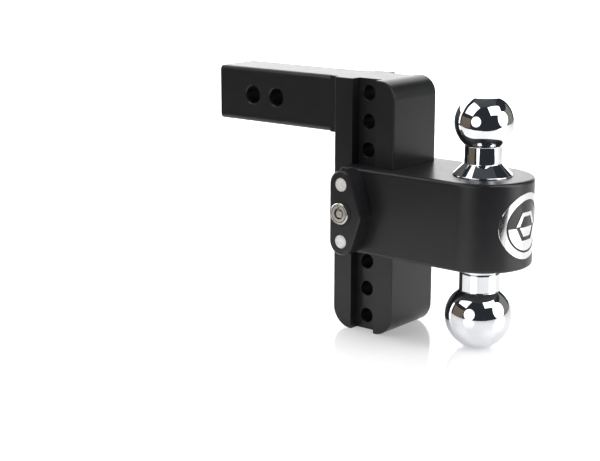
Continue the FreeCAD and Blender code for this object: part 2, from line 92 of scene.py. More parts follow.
def linear(code):
    """An sRGB hex colour as linear RGBA."""
    values = [int(code[i:i + 2], 16) / 255 for i in (1, 3, 5)]
    return [v / 12.92 if v <= 0.04045 else ((v + 0.055) / 1.055) ** 2.4 for v in values] + [1.0]


# ---- what a user would change ------------------------------------------------------------
class HitchSizes(bpy.types.PropertyGroup):
    """Sizes of the turned and pressed pieces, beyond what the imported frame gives."""

    neck_radius: FloatProperty(
        name="Upper neck radius", description="Radius of the straight neck under the upper ball",
        default=16.1 * MM, unit="LENGTH")
    collar_radius: FloatProperty(
        name="Lower collar radius", description="Radius of the straight collar over the lower ball",
        default=17.8 * MM, unit="LENGTH")
    wrench_flats: FloatProperty(
        name="Wrench flats", description="Across the flats of the hexagon over the collar",
        default=32.5 * MM, unit="LENGTH")
    wrench_height: FloatProperty(
        name="Wrench height", description="Height of the hexagon over the collar",
        default=8.6 * MM, unit="LENGTH")
    wrench_corner_radius: FloatProperty(
        name="Wrench corner radius", description="Radius that the hexagon's corners are turned to",
        default=17.4 * MM, unit="LENGTH")
    wrench_turn: FloatProperty(
        name="Wrench turn", description="From +X to a corner of the hexagon",
        default=math.radians(-15), subtype="ANGLE")
    shank_radius: FloatProperty(
        name="Ball shank radius", description="Radius of the lower ball's shank in the mount",
        default=14.3 * MM, unit="LENGTH")
    flare_radius: FloatProperty(
        name="Flare radius", description="Radius of the upper ball's foot on the mount",
        default=25.6 * MM, unit="LENGTH")
    flare_height: FloatProperty(
        name="Flare height", description="Height of the sloping part of the foot",
        default=9.6 * MM, unit="LENGTH")
    flare_lip: FloatProperty(
        name="Flare lip", description="Height of the foot's thin upright edge",
        default=1.0 * MM, unit="LENGTH")
    blend_radius: FloatProperty(
        name="Neck blend", description="Radius where a ball runs into its neck",
        default=1.6 * MM, unit="LENGTH")
    flat_edge_radius: FloatProperty(
        name="Flat edge radius", description="Radius round the edge of a ball's flat",
        default=0.9 * MM, unit="LENGTH")
    corner_radius: FloatProperty(
        name="Corner radius", description="Radius on the turned pieces' other corners",
        default=0.35 * MM, unit="LENGTH")
    badge_relief: FloatProperty(
        name="Badge relief", description="Height of the badge disc's raised pattern",
        default=0.5 * MM, unit="LENGTH")
    turning_segments: IntProperty(
        name="Turning segments", description="Segments round a turned piece", default=160, min=24)


class HitchFinish(bpy.types.PropertyGroup):
    """Colours and coat of the hitch."""

    coat: StringProperty(
        name="Coat", description="Black satin coat, as a hex colour", default="#1b1b1d")
    coat_worn: StringProperty(
        name="Coat, rubbed", description="The coat where it is rubbed", default="#1f1f21")
    coat_roughness: FloatProperty(
        name="Coat roughness", description="Roughness of the satin coat",
        default=0.29, min=0, max=1)
    coat_grain: FloatProperty(
        name="Coat grain", description="Size of the coat's fine grain",
        default=0.7 * MM, unit="LENGTH")
    chrome: StringProperty(
        name="Chrome", description="Plated balls, as a hex colour", default="#e4e5e8")
    stainless: StringProperty(
        name="Stainless", description="Holding pins and springs, as a hex colour",
        default="#f7f6f4")
    nickel: StringProperty(
        name="Nickel", description="Lock, as a hex colour", default="#dcdad3")
    brass: StringProperty(
        name="Brass", description="Lock's inner pins, as a hex colour", default="#c9a45a")
    rubber: StringProperty(
        name="Rubber", description="Lock's seal, as a hex colour", default="#131314")
    black_oxide: StringProperty(
        name="Black oxide", description="Set screw and retaining ring, as a hex colour",
        default="#2a2a2d")
    zinc: StringProperty(
        name="Zinc", description="Dog, its washer and its screw, as a hex colour",
        default="#b9bcc0")


class HitchStudio(bpy.types.PropertyGroup):
    """The table, lights and camera."""

    azimuth: FloatProperty(
        name="Camera azimuth", description="0 looks along +Y",
        default=math.radians(39.5), subtype="ANGLE")
    elevation: FloatProperty(
        name="Camera elevation", description="Above the horizon",
        default=math.radians(13.3), subtype="ANGLE")
    distance: FloatProperty(
        name="Camera distance", description="From the point looked at",
        default=1.196, unit="LENGTH")
    looked_at: FloatVectorProperty(
        name="Looked at", description="Point in the row frame that the camera faces",
        default=(0.1003, -0.0773, -0.1063), subtype="XYZ")
    lens: FloatProperty(name="Lens", description="Focal length", default=81.4, unit="CAMERA")
    table: StringProperty(
        name="Table", description="The table's white, as a hex colour", default="#dcdcdc")
    table_glow: FloatProperty(
        name="Table glow", description="The overlit table's own radiance", default=0.34)
    sweep_glow: FloatProperty(
        name="Sweep glow", description="The sweep's radiance", default=1.4)
    left_light: FloatProperty(
        name="Left lights", description="Radiance of the left softboxes", default=1.9)
    right_light: FloatProperty(
        name="Right lights", description="Radiance of the right softboxes", default=3.4)
    top_light: FloatProperty(
        name="Top light", description="Radiance of the overhead light", default=2.6)
    room: StringProperty(
        name="Room", description="The dark room, as a hex colour", default="#2e3236")


# ---- nodes -------------------------------------------------------------------------------
# noise gathers round 0.5, so only the middle of its range is spread over the wanted one
NOISE_LOW, NOISE_HIGH = 0.3, 0.7


def add_node(tree, kind, settings=None, inputs=None, links=None):
    """Adds a node: settings are its properties, inputs its values, links its inputs' sources."""
    node = tree.nodes.new(kind)
    for key, value in (settings or {}).items():
        setattr(node, key, value)
    for key, value in (inputs or {}).items():
        node.inputs[key].default_value = value
    for key, socket in (links or {}).items():
        tree.links.new(socket, node.inputs[key])
    return node


def maths(tree, operation, first, second=None):
    """One sum on a socket and, where it takes two, a second socket or a number."""
    node = add_node(tree, "ShaderNodeMath", {"operation": operation}, links={0: first})
    if isinstance(second, bpy.types.NodeSocket):
        tree.links.new(second, node.inputs[1])
    elif second is not None:
        node.inputs[1].default_value = second
    return node.outputs[0]


def new_material(name):
    """A material with its shader, its output and the object's own coordinates."""
    material = bpy.data.materials.new(name)
    material.use_nodes = True
    tree = material.node_tree
    tree.nodes.clear()
    shader = add_node(tree, "ShaderNodeBsdfPrincipled")
    add_node(tree, "ShaderNodeOutputMaterial", links={"Surface": shader.outputs["BSDF"]})
    place = add_node(tree, "ShaderNodeTexCoord").outputs["Object"]
    return material, tree, shader, place


def noise(tree, place, size, detail, roughness=0.5):
    """Noise whose blobs are about the given size in metres."""
    values = {"Scale": 1 / size, "Detail": detail, "Roughness": roughness}
    node = add_node(tree, "ShaderNodeTexNoise", inputs=values, links={"Vector": place})
    return node.outputs["Fac"]


def spread(tree, factor, low, high):
    """Maps a noise onto low-high."""
    values = {"From Min": NOISE_LOW, "From Max": NOISE_HIGH, "To Min": low, "To Max": high}
    node = add_node(tree, "ShaderNodeMapRange", inputs=values, links={"Value": factor})
    return node.outputs["Result"]


def two_tone(tree, factor, first, second):
    """Blends two hex colours by a factor."""
    mix = add_node(tree, "ShaderNodeMix", {"data_type": "RGBA"},
                   {6: linear(first), 7: linear(second)}, {"Factor": factor})
    return mix.outputs[2]


def bump(tree, height, depth, after=None):
    """A bump of the given depth in metres, on top of another one where that is given."""
    links = {"Height": height}
    if after is not None:
        links["Normal"] = after
    values = {"Strength": 1.0, "Distance": depth}
    node = add_node(tree, "ShaderNodeBump", inputs=values, links=links)
    return node.outputs["Normal"]


def from_axis(tree, place, centre, keep):
    """Distance from an axis through centre; keep has 0 along the axis and 1 across it."""
    near = add_node(
        tree, "ShaderNodeVectorMath", {"operation": "SUBTRACT"}, {1: centre}, {0: place})
    flat = add_node(
        tree, "ShaderNodeVectorMath", {"operation": "MULTIPLY"}, {1: keep}, {0: near.outputs[0]})
    length = add_node(
        tree, "ShaderNodeVectorMath", {"operation": "LENGTH"}, links={0: flat.outputs[0]})
    return length.outputs["Value"]


# ---- materials ---------------------------------------------------------------------------
def satin_coat(finish):
    """Satin black powder coat on machined aluminium: near black, soft sheen, a fine even grain and
    a slow unevenness that shows only where the light grazes it."""
    material, tree, shader, place = new_material("satin_black_powder_coat")
    patch_size, rub_size, peel_size = 34 * MM, 11 * MM, 6 * MM
    peel_depth, grain_depth = 0.006 * MM, 0.005 * MM
    smoother, rougher = finish.coat_roughness - 0.01, finish.coat_roughness + 0.02
    worn = spread(tree, noise(tree, place, patch_size, 2.0), 0, 1)
    tone = two_tone(tree, worn, finish.coat, finish.coat_worn)
    tree.links.new(tone, shader.inputs["Base Color"])
    rub = spread(tree, noise(tree, place, rub_size, 4.0), smoother, rougher)
    tree.links.new(rub, shader.inputs["Roughness"])
    # the real grain is finer; it is drawn coarse enough to show
    wavy = bump(tree, noise(tree, place, peel_size, 1.0), peel_depth)
    grained = bump(tree, noise(tree, place, finish.coat_grain, 2.0), grain_depth, wavy)
    tree.links.new(grained, shader.inputs["Normal"])
    shader.inputs["IOR"].default_value = 1.44
    return material


def chrome_plate(finish):
    """Bright chrome plate on steel: a near mirror, with hair-fine polishing marks that break up
    the roughness a little."""
    material, tree, shader, place = new_material("bright_chrome_plate")
    shader.inputs["Base Color"].default_value = linear(finish.chrome)
    shader.inputs["Metallic"].default_value = 1.0
    mark_size, ripple_size, ripple_depth = 6 * MM, 14 * MM, 0.006 * MM
    marks = spread(tree, noise(tree, place, mark_size, 6.0, 0.6), 0.025, 0.05)
    tree.links.new(marks, shader.inputs["Roughness"])
    ripple = bump(tree, noise(tree, place, ripple_size, 1.0), ripple_depth)
    tree.links.new(ripple, shader.inputs["Normal"])
    return material


def turned_metal(name, colour, roughness, centre, pitch, depth, line=None):
    """Turned metal: rings of tool marks a pitch apart round an axis along Y, with faint smears
    across them; a line is the radius of a thin dark ring painted on as the shade in one deeper
    turned groove."""
    material, tree, shader, place = new_material(name)
    shader.inputs["Metallic"].default_value = 1.0
    smear_size, shade_ring_half_width = 2.4 * MM, 0.28 * MM
    smear = noise(tree, place, smear_size, 5.0, 0.65)
    darker = "#" + "".join(f"{int(int(colour[i:i + 2], 16) * 0.88):02x}" for i in (1, 3, 5))
    tone = two_tone(tree, spread(tree, smear, 0, 1), colour, darker)
    distance = from_axis(tree, place, centre, (1, 0, 1))
    # painted shade: a thin dark band at the line's radius stands for the shade inside a turned
    # groove
    if line:
        from_shade_ring = maths(tree, "ABSOLUTE", maths(tree, "SUBTRACT", distance, line))
        in_painted_shade = maths(tree, "LESS_THAN", from_shade_ring, shade_ring_half_width)
        mix = add_node(tree, "ShaderNodeMix", {"data_type": "RGBA"}, {7: linear("#3c3a36")},
                       {"Factor": in_painted_shade, 6: tone})
        tone = mix.outputs[2]
    tree.links.new(tone, shader.inputs["Base Color"])
    worn = spread(tree, smear, roughness * 0.8, roughness * 1.25)
    tree.links.new(worn, shader.inputs["Roughness"])
    rings = maths(tree, "SINE", maths(tree, "MULTIPLY", distance, 2 * math.pi / pitch))
    tree.links.new(bump(tree, rings, depth), shader.inputs["Normal"])
    return material


def polished_plate(name, colour, axis=None, field=0.0):
    """Polished badge metal with faint polishing haze; where an axis is given, whatever lies closer
    to it than the field's radius is gloss black, as an inlaid ground is."""
    material, tree, shader, place = new_material(name)
    haze_size = 3 * MM
    haze = spread(tree, noise(tree, place, haze_size, 5.0, 0.6), 0.06, 0.13)
    tree.links.new(haze, shader.inputs["Roughness"])
    if axis is None:
        shader.inputs["Metallic"].default_value = 1.0
        shader.inputs["Base Color"].default_value = linear(colour)
        return material
    raised = maths(tree, "GREATER_THAN", from_axis(tree, place, axis, (1, 1, 0)), field)
    tree.links.new(raised, shader.inputs["Metallic"])
    tree.links.new(two_tone(tree, raised, "#0c0c0d", colour), shader.inputs["Base Color"])
    return material


def moulded_rubber(finish):
    """Moulded rubber: matt, almost black, with a fine pebbled skin."""
    material, tree, shader, place = new_material("moulded_rubber")
    shader.inputs["Base Color"].default_value = linear(finish.rubber)
    pebble_size, pebble_depth = 0.5 * MM, 0.03 * MM
    skin = noise(tree, place, pebble_size, 2.0)
    tree.links.new(spread(tree, skin, 0.6, 0.8), shader.inputs["Roughness"])
    tree.links.new(bump(tree, skin, pebble_depth), shader.inputs["Normal"])
    return material


def plain_metal(name, colour, roughness):
    """A small plated or oxidised fastener: even metal with a slightly mottled sheen."""
    material, tree, shader, place = new_material(name)
    shader.inputs["Metallic"].default_value = 1.0
    shader.inputs["Base Color"].default_value = linear(colour)
    mottle_size, mottle_depth = 1.2 * MM, 0.01 * MM
    mottle = noise(tree, place, mottle_size, 4.0)
    sheen = spread(tree, mottle, roughness * 0.8, roughness * 1.2)
    tree.links.new(sheen, shader.inputs["Roughness"])
    tree.links.new(bump(tree, mottle, mottle_depth), shader.inputs["Normal"])
    return material


def wear(node, material):
    """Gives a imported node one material."""
    slots = frame["nodes"][node].data.materials
    slots.clear()
    slots.append(material)


# ---- turned pieces -----------------------------------------------------------------------
LONG_RUN = 2 * MM
HOLD_DISTANCE = 0.08 * MM
WELD_DISTANCE = 0.002 * MM
TURNED_SHARP_ANGLE = math.radians(32)
WRENCH_SHARP_ANGLE = math.radians(20)
WRENCH_STEPS = 120
BLEND_STEPS = 6
BALL_STEPS = 72


def turning_tree():
    """Geometry Nodes that turn a profile of vertices (radius, 0, height) about the Z axis."""
    tree = bpy.data.node_groups.new("turned_piece", "GeometryNodeTree")
    face = tree.interface
    face.new_socket("Profile", in_out="INPUT", socket_type="NodeSocketGeometry")
    face.new_socket("Segments", in_out="INPUT", socket_type="NodeSocketInt")
    face.new_socket("Weld", in_out="INPUT", socket_type="NodeSocketFloat")
    face.new_socket("Finish", in_out="INPUT", socket_type="NodeSocketMaterial")
    face.new_socket("Piece", in_out="OUTPUT", socket_type="NodeSocketGeometry")
    given = add_node(tree, "NodeGroupInput").outputs
    size = add_node(tree, "GeometryNodeAttributeDomainSize", {"component": "MESH"},
                    links={"Geometry": given["Profile"]})
    # the grid has a row for each profile point; its first and last columns meet after the turn
    columns = maths(tree, "ADD", given["Segments"], 1.0)
    grid = add_node(tree, "GeometryNodeMeshGrid", links={
        "Vertices X": size.outputs["Point Count"], "Vertices Y": columns})
    index = add_node(tree, "GeometryNodeInputIndex").outputs[0]
    # a small step on keeps whole rows from rounding down
    past_row = maths(tree, "ADD", maths(tree, "DIVIDE", index, columns), 0.0005)
    whole_row = maths(tree, "FLOOR", past_row)
    column = maths(tree, "MODULO", index, columns)
    part_turn = maths(tree, "DIVIDE", column, given["Segments"])
    angle = maths(tree, "MULTIPLY", part_turn, 2 * math.pi)
    position = add_node(tree, "GeometryNodeInputPosition").outputs[0]
    sample = add_node(
        tree, "GeometryNodeSampleIndex", {"data_type": "FLOAT_VECTOR", "domain": "POINT"},
        links={"Geometry": given["Profile"], "Value": position, "Index": whole_row})
    turned = add_node(tree, "ShaderNodeVectorRotate", {"rotation_type": "Z_AXIS"}, links={
        "Vector": sample.outputs[0], "Angle": angle})
    placed = add_node(tree, "GeometryNodeSetPosition", links={
        "Geometry": grid.outputs["Mesh"], "Position": turned.outputs[0]})
    welded = add_node(tree, "GeometryNodeMergeByDistance", links={
        "Geometry": placed.outputs[0], "Distance": given["Weld"]})
    real = add_node(tree, "GeometryNodeRealizeInstances", links={"Geometry": welded.outputs[0]})
    painted = add_node(tree, "GeometryNodeSetMaterial", links={
        "Geometry": real.outputs[0], "Material": given["Finish"]})
    add_node(tree, "NodeGroupOutput", links={"Piece": painted.outputs[0]})
    return tree


def baked(host, name):
    """The evaluated object as a plain mesh object; the host is removed."""
    depsgraph = bpy.context.evaluated_depsgraph_get()
    mesh = bpy.data.meshes.new_from_object(host.evaluated_get(depsgraph))
    old = host.data
    bpy.data.objects.remove(host)
    bpy.data.meshes.remove(old)
    mesh.name = name
    piece = bpy.data.objects.new(name, mesh)
    bpy.context.scene.collection.objects.link(piece)
    return piece


def held(profile):
    """The profile with a point close to both ends of every long straight run, so that smooth
    shading at the corners doesn't bend the run's reflections."""
    points = [Vector(profile[0])]
    for after in profile[1:]:
        before, after = points[-1], Vector(after)
        run = after - before
        if run.length > LONG_RUN:
            step = run.normalized() * HOLD_DISTANCE
            points += [before + step, after - step]
        points.append(after)
    return [tuple(p) for p in points]


def turn_piece(name, profile, material, centre, axis, segments):
    """Turns a profile of (radius, height) about an axis through centre, as one closed mesh."""
    profile = held(profile)
    line = bpy.data.meshes.new(name + "_profile")
    edges = [(i, i + 1) for i in range(len(profile) - 1)]
    line.from_pydata([(r, 0, h) for r, h in profile], edges, [])
    host = bpy.data.objects.new(name + "_host", line)
    bpy.context.scene.collection.objects.link(host)
    tree = bpy.data.node_groups.get("turned_piece") or turning_tree()
    modifier = host.modifiers.new("turn", "NODES")
    modifier.node_group = tree
    sockets = {s.name: s.identifier for s in tree.interface.items_tree if s.in_out == "INPUT"}
    modifier[sockets["Segments"]] = segments
    modifier[sockets["Weld"]] = WELD_DISTANCE
    modifier[sockets["Finish"]] = material
    piece = baked(host, name)
    turn = Vector((0, 0, 1)).rotation_difference(Vector(axis)).to_matrix().to_4x4()
    piece.data.transform(Matrix.Translation(centre) @ turn)
    outward(piece.data)
    piece.data.shade_smooth()
    piece.data.set_sharp_from_angle(angle=TURNED_SHARP_ANGLE)
    return piece


def wrench_piece(sizes, material, centre, low, high):
    """The hexagon over the collar: flats between turned-down corners, edges a little eased."""
    steps = WRENCH_STEPS
    flat = sizes.wrench_flats / 2
    ease = 0.3 * MM
    outline = []
    for i in range(steps):
        a = 2 * math.pi * i / steps
        from_flat = (a + math.pi / 6) % (math.pi / 3) - math.pi / 6
        outline.append((a, min(flat / math.cos(from_flat), sizes.wrench_corner_radius)))
    points = []
    for height, inset in ((low, ease), (low + ease, 0), (high - ease, 0), (high, ease)):
        for a, reach in outline:
            turn = a + sizes.wrench_turn + math.pi / 6
            r = reach - inset
            points.append((r * math.cos(turn), r * math.sin(turn), height))
    faces = [tuple(reversed(range(steps))), tuple(range(3 * steps, 4 * steps))]
    for ring in range(3):
        for i in range(steps):
            j = (i + 1) % steps
            k = ring * steps
            faces.append((k + i, k + j, k + steps + j, k + steps + i))
    mesh = bpy.data.meshes.new("lower_ball_wrench_hexagon")
    mesh.from_pydata(points, [], faces)
    mesh.materials.append(material)
    mesh.transform(Matrix.Translation(centre))
    outward(mesh)
    mesh.shade_smooth()
    mesh.set_sharp_from_angle(angle=WRENCH_SHARP_ANGLE)
    piece = bpy.data.objects.new(mesh.name, mesh)
    bpy.context.scene.collection.objects.link(piece)
    return piece


def outward(mesh):
    """Points a closed mesh's faces outwards."""
    work = bmesh.new()
    work.from_mesh(mesh)
    bmesh.ops.recalc_face_normals(work, faces=work.faces)
    work.to_mesh(mesh)
    work.free()


def arc(centre, radius, start, end, steps):
    """Points on a circle in the profile's plane, from one angle to another in radians."""
    points = []
    for i in range(steps + 1):
        a = start + (end - start) * i / steps
        points.append((centre[0] + radius * math.cos(a), centre[1] + radius * math.sin(a)))
    return points


def eased(before, corner, after, radius, steps=4):
    """A straight-sided corner rounded by an arc-like curve that touches both sides."""
    b, c, a = Vector(before), Vector(corner), Vector(after)
    start = c + (b - c).normalized() * radius
    end = c + (a - c).normalized() * radius
    points = []
    for i in range(steps + 1):
        t = i / steps
        points.append(tuple(start * (1 - t) ** 2 + c * 2 * t * (1 - t) + end * t ** 2))
    return points


def ball_arc(radius, flat, neck, flat_edge, blend, up):
    """A ball's profile from its neck to its flat: up is 1 where the flat is on top."""
    # the blend's circle touches the neck and the ball from outside
    blend_r = neck + blend
    blend_h = math.sqrt((radius + blend) ** 2 - blend_r ** 2)
    meet = math.atan2(-blend_h, blend_r)
    # the flat's edge is a small circle inside the ball
    edge_h = flat - flat_edge
    edge_r = math.sqrt((radius - flat_edge) ** 2 - edge_h ** 2)
    leave = math.atan2(edge_h, edge_r)
    points = arc((blend_r, -blend_h), blend, math.pi, meet + math.pi, BLEND_STEPS)
    points += arc((0, 0), radius, meet, leave, BALL_STEPS)
    points += arc((edge_r, edge_h), flat_edge, leave, math.pi / 2, BLEND_STEPS)
    points.append((0, flat))
    return [(r, h * up) for r, h in points]


class HITCH_OT_balls(bpy.types.Operator):
    """Turns both chrome balls with their necks, the foot and the shank through the mount"""

    bl_idname = "hitch.balls"
    bl_label = "Balls"

    def execute(self, context):
        sizes = context.scene.hitch_sizes
        chrome = chrome_plate(context.scene.hitch_finish)
        edge = sizes.corner_radius
        flat_edge, blend = sizes.flat_edge_radius, sizes.blend_radius
        low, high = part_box("upper_ball")
        centre = mount_place("upper_coupler_ball")
        radius = mount_radius("upper_coupler_ball")
        base = low.z - centre.z
        flare = sizes.flare_radius
        lip = base + sizes.flare_lip
        neck = sizes.neck_radius
        top = lip + sizes.flare_height
        profile = [(0, base)]
        profile += eased((0, base), (flare, base), (flare, lip), edge)
        profile += eased((flare, base), (flare, lip), (neck, top), edge)
        profile += eased((flare, lip), (neck, top), (neck, 0), edge)
        profile += ball_arc(radius, high.z - centre.z, neck, flat_edge, blend, 1)
        upper = turn_piece(
            "upper_ball_turned", profile, chrome, centre, (0, 0, 1), sizes.turning_segments)
        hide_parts("upper_ball")

        low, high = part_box("lower_ball")
        centre = mount_place("lower_coupler_ball")
        radius = mount_radius("lower_coupler_ball")
        collar = sizes.collar_radius
        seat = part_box("ball_mount")[0].z - centre.z
        profile = ball_arc(radius, centre.z - low.z, collar, flat_edge, blend, -1)
        profile.reverse()
        ledge = seat - sizes.wrench_height
        profile += eased((collar, 0), (collar, ledge), (0, ledge), edge * 3)
        shank = sizes.shank_radius
        profile += [(shank, ledge), (shank, high.z - centre.z), (0, high.z - centre.z)]
        lower = turn_piece(
            "lower_ball_turned", profile, chrome, centre, (0, 0, 1), sizes.turning_segments)
        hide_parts("lower_ball")
        wrench = wrench_piece(sizes, chrome, centre, ledge, seat)
        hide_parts("lower_ball")
        for piece in (upper, lower, wrench):
            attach(piece, "ball_mount")
        return {"FINISHED"}


class HITCH_OT_pins(bpy.types.Operator):
    """Turns the two holding pins, with a machined face at the key side and a bevelled far tip"""

    bl_idname = "hitch.pins"
    bl_label = "Holding pins"

    def execute(self, context):
        finish = context.scene.hitch_finish
        sizes = context.scene.hitch_sizes
        roughness, mark_pitch, mark_depth = 0.52, 0.55 * MM, 0.006 * MM
        dimple_depth, dimple_floor, dimple_mouth = 0.12 * MM, 0.9 * MM, 1.1 * MM
        rim_width, rim_depth = 0.57 * MM, 0.55 * MM
        bevel, bevel_edge = 1.5 * MM, 0.3 * MM
        segments = sizes.turning_segments // 2
        for node in ("upper_pin", "lower_pin"):
            low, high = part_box(node)
            centre = middle(node)
            radius = (high.x - low.x) / 2
            half = (high.y - low.y) / 2
            steel = turned_metal(node + "_turned_stainless", finish.stainless, roughness, centre,
                                 mark_pitch, mark_depth)
            floor = -half + dimple_depth
            profile = [(0, floor), (dimple_floor, floor), (dimple_mouth, -half)]
            profile += [(radius - rim_width, -half), (radius, -half + rim_depth)]
            outer, inner = (radius, half - bevel), (radius - bevel, half)
            profile += eased((radius, 0), outer, inner, bevel_edge)
            profile += eased(outer, inner, (0, half), bevel_edge)
            profile.append((0, half))
            pin = turn_piece(node + "_turned", profile, steel, centre, (0, 1, 0), segments)
            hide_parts(node)
            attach(pin, "dual_pin")
        return {"FINISHED"}


class HITCH_OT_coated(bpy.types.Operator):
    """Coats the drawbar, the ball mount and the pin plate"""

    bl_idname = "hitch.coated"
    bl_label = "Coated pieces"

    def execute(self, context):
        coat = satin_coat(context.scene.hitch_finish)
        for node in ("drawbar", "ball_mount", "pin_plate"):
            wear(node, coat)
        return {"FINISHED"}


class HITCH_OT_badge(bpy.types.Operator):
    """Finishes the plain ring and disc let into the nose"""

    bl_idname = "hitch.badge"
    bl_label = "Badge"

    def execute(self, context):
        axis = mount_place("upper_coupler_ball")
        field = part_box("badge_disc")[1].x - axis.x - context.scene.hitch_sizes.badge_relief / 2
        wear("badge_ring", polished_plate("polished_badge_ring", "#e6e6e6"))
        wear("badge_disc", polished_plate("polished_over_black", "#e6e6e6", axis, field))
        return {"FINISHED"}


class HITCH_OT_lock(bpy.types.Operator):
    """Finishes the lock's barrel, core, pins, seal, dog and fasteners"""

    bl_idname = "hitch.lock"
    bl_label = "Lock"

    def execute(self, context):
        finish = context.scene.hitch_finish
        axis = middle("lock_barrel")
        # the nickel gets a thin dark ring painted 7.5 mm from the axis, as painted shade for a
        # turned groove
        mark_pitch, mark_depth, painted_groove_shade_radius = 0.6 * MM, 0.008 * MM, 7.5 * MM
        nickel = turned_metal(
            "turned_nickel", finish.nickel, 0.2, axis, mark_pitch, mark_depth, painted_groove_shade_radius)
        brass = plain_metal("turned_brass", finish.brass, 0.3)
        zinc = plain_metal("zinc_plate", finish.zinc, 0.35)
        oxide = plain_metal("black_oxide", finish.black_oxide, 0.42)
        spring = plain_metal("spring_steel", finish.stainless, 0.3)
        rubber = moulded_rubber(finish)
        finishes = {
            nickel: ("lock_barrel", "lock_core"),
            brass: ("lock_bushing", "lock_driver_pins", "lock_key_pins"),
            zinc: ("lock_dog", "dog_washer", "dog_screw"),
            oxide: ("lock_retaining_ring", "ball_set_screw"),
            spring: ("lock_springs",),
            rubber: ("lock_seal",),
        }
        for material, nodes in finishes.items():
            for node in nodes:
                wear(node, material)
        return {"FINISHED"}


# ---- stage -------------------------------------------------------------------------------
WHITE, BLACK = linear("#ffffff"), linear("#000000")
SENSOR_WIDTH = 36.0
# places are metres (across, ahead) from the spot under the upper ball: across is to the main
# camera's right, ahead towards the camera; a third number is the height
TABLE_OUTLINE = ((-1.3, -1.9), (-0.8, -0.15), (-0.45, 0.24), (-0.15, 0.38), (0.55, 0.39),
                 (1.3, 0.3), (1.4, -1.9))
TABLE_ROUGHNESS = 0.12
FLOOR_MIDDLE = (0, -0.8)
FLOOR_REACH = 40.0
SWEEP_UPRIGHTS = ((-1.3, -0.55, 0.8), (-1.6, -1.4, 2.3), (-1.2, -1.9, 2.8), (1.35, -1.9, 1.9))
HORIZON_STEPS = 24
HORIZON_RADIUS, HORIZON_DROP, HORIZON_HEIGHT = 13.0, 0.02, 14.0
CEILING_CORNERS = ((-1.6, 1.2, 2.8), (1.6, 1.2, 2.8), (1.6, -1.2, 2.8), (-1.6, -1.2, 2.8))
# name, colour, first and last bearing in degrees from -Y, then metres away from and above the ball
BOARDS = (("brown_board", "#6b5f52", -66, -22, 1.2, 0.3),
          ("grey_board", "#82837c", 128, 170, 1.7, 0.9))
BOARD_DROP = 0.35
BOARD_PANES = 6
# name, radiance's property, direction and distance from the ball, size, shape, roll in degrees
SOFTBOXES = (
    ("left_square", "left_light", (-0.431, -0.559, 0.705), 1.2, (0.86, 0.86), "RECTANGLE", 0),
    ("left_octagon", "left_light", (0.0, -0.99, 0.1), 1.25, (0.86, 0.86), "ELLIPSE", 0),
    ("right_square", "right_light", (0.703, -0.034, 0.711), 1.3, (1.02, 0.77), "RECTANGLE", -15),
    ("right_octagon", "right_light", (0.92, 0.33, 0.2), 1.3, (1.1, 1.1), "ELLIPSE", 0),
)
OVERHEAD_DIRECTION, OVERHEAD_DISTANCE, OVERHEAD_SIZE = (0, 0.1, 1), 2.2, (1.6, 1.6)


def glowing(name, colour, strength, base=None, roughness=0.6):
    """A surface with light of its own, as an overlit studio sweep looks; base is the colour that
    it scatters, where that isn't the colour that it gives off."""
    material, _, shader, _ = new_material(name)
    shader.inputs["Base Color"].default_value = base or colour
    shader.inputs["Roughness"].default_value = roughness
    shader.inputs["Emission Color"].default_value = colour
    shader.inputs["Emission Strength"].default_value = strength
    return material


def sheet_object(name, points, faces, material):
    """A piece of the stage, made of flat faces."""
    mesh = bpy.data.meshes.new(name)
    mesh.from_pydata(points, [], faces)
    mesh.materials.append(material)
    obj = bpy.data.objects.new(name, mesh)
    bpy.context.scene.collection.objects.link(obj)
    return obj


def only_for_camera(obj):
    """The object is seen, but isn't reflected and lights nothing."""
    obj.visible_diffuse = False
    obj.visible_glossy = False
    obj.visible_transmission = False
    obj.visible_shadow = False


def only_reflected(obj):
    """The object shows in polished metal but is never seen itself."""
    obj.visible_camera = False
    obj.visible_diffuse = False
    obj.visible_shadow = False


def softbox(name, aim, towards, distance, size, strength, shape="RECTANGLE", roll=0):
    """A flat soft light that faces aim from a direction; strength is its radiance, and roll turns
    it in degrees."""
    width, height = size
    data = bpy.data.lights.new(name, "AREA")
    data.shape = shape
    data.size = width
    data.size_y = height
    area = width * height * (math.pi / 4 if shape == "ELLIPSE" else 1)
    data.energy = strength * math.pi * area
    lamp = bpy.data.objects.new(name, data)
    bpy.context.scene.collection.objects.link(lamp)
    away = Vector(towards).normalized()
    turn = away.to_track_quat("Z", "Y").to_matrix().to_4x4()
    rolled = turn @ Matrix.Rotation(math.radians(roll), 4, "Z")
    lamp.matrix_world = Matrix.Translation(aim + away * distance) @ rolled
    lamp.visible_camera = False
    return lamp


